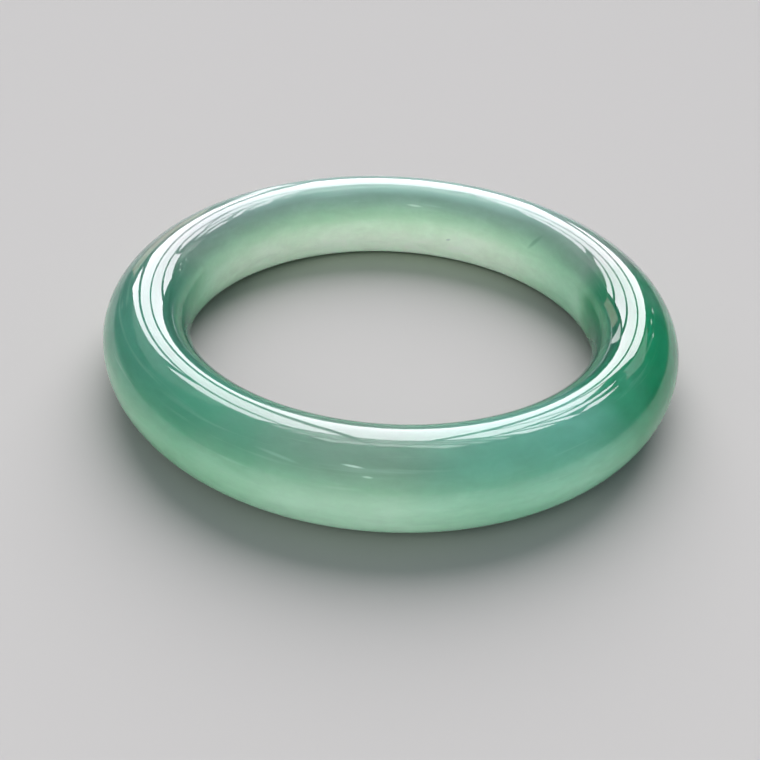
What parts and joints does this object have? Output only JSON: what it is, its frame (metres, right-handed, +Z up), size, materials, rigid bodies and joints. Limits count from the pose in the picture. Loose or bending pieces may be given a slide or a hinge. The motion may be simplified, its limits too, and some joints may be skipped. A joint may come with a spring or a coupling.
{
  "type": "bangle bracelet",
  "caption": "Rigid closed bangle of translucent green jade: a smooth polished ring of rounded bar section, slipped over the hand and worn loose on the wrist.",
  "frame": {"origin": "centre of the ring, on the plane that the bangle lies on", "axes": "+Z up along the ring's axis; the ring is the same all round, so +X and +Y only fix where its colour zones are: -Y is the near side, +X the side with the deepest green"},
  "size_m": [0.0804, 0.0804, 0.0127],
  "materials": {
    "jade": "high mirror polish on translucent pale green jadeite, with deeper green zones, soft cloud and wisps inside"
  },
  "bodies": {
    "root": {"bangle": "jade"}
  },
  "joints": []
}
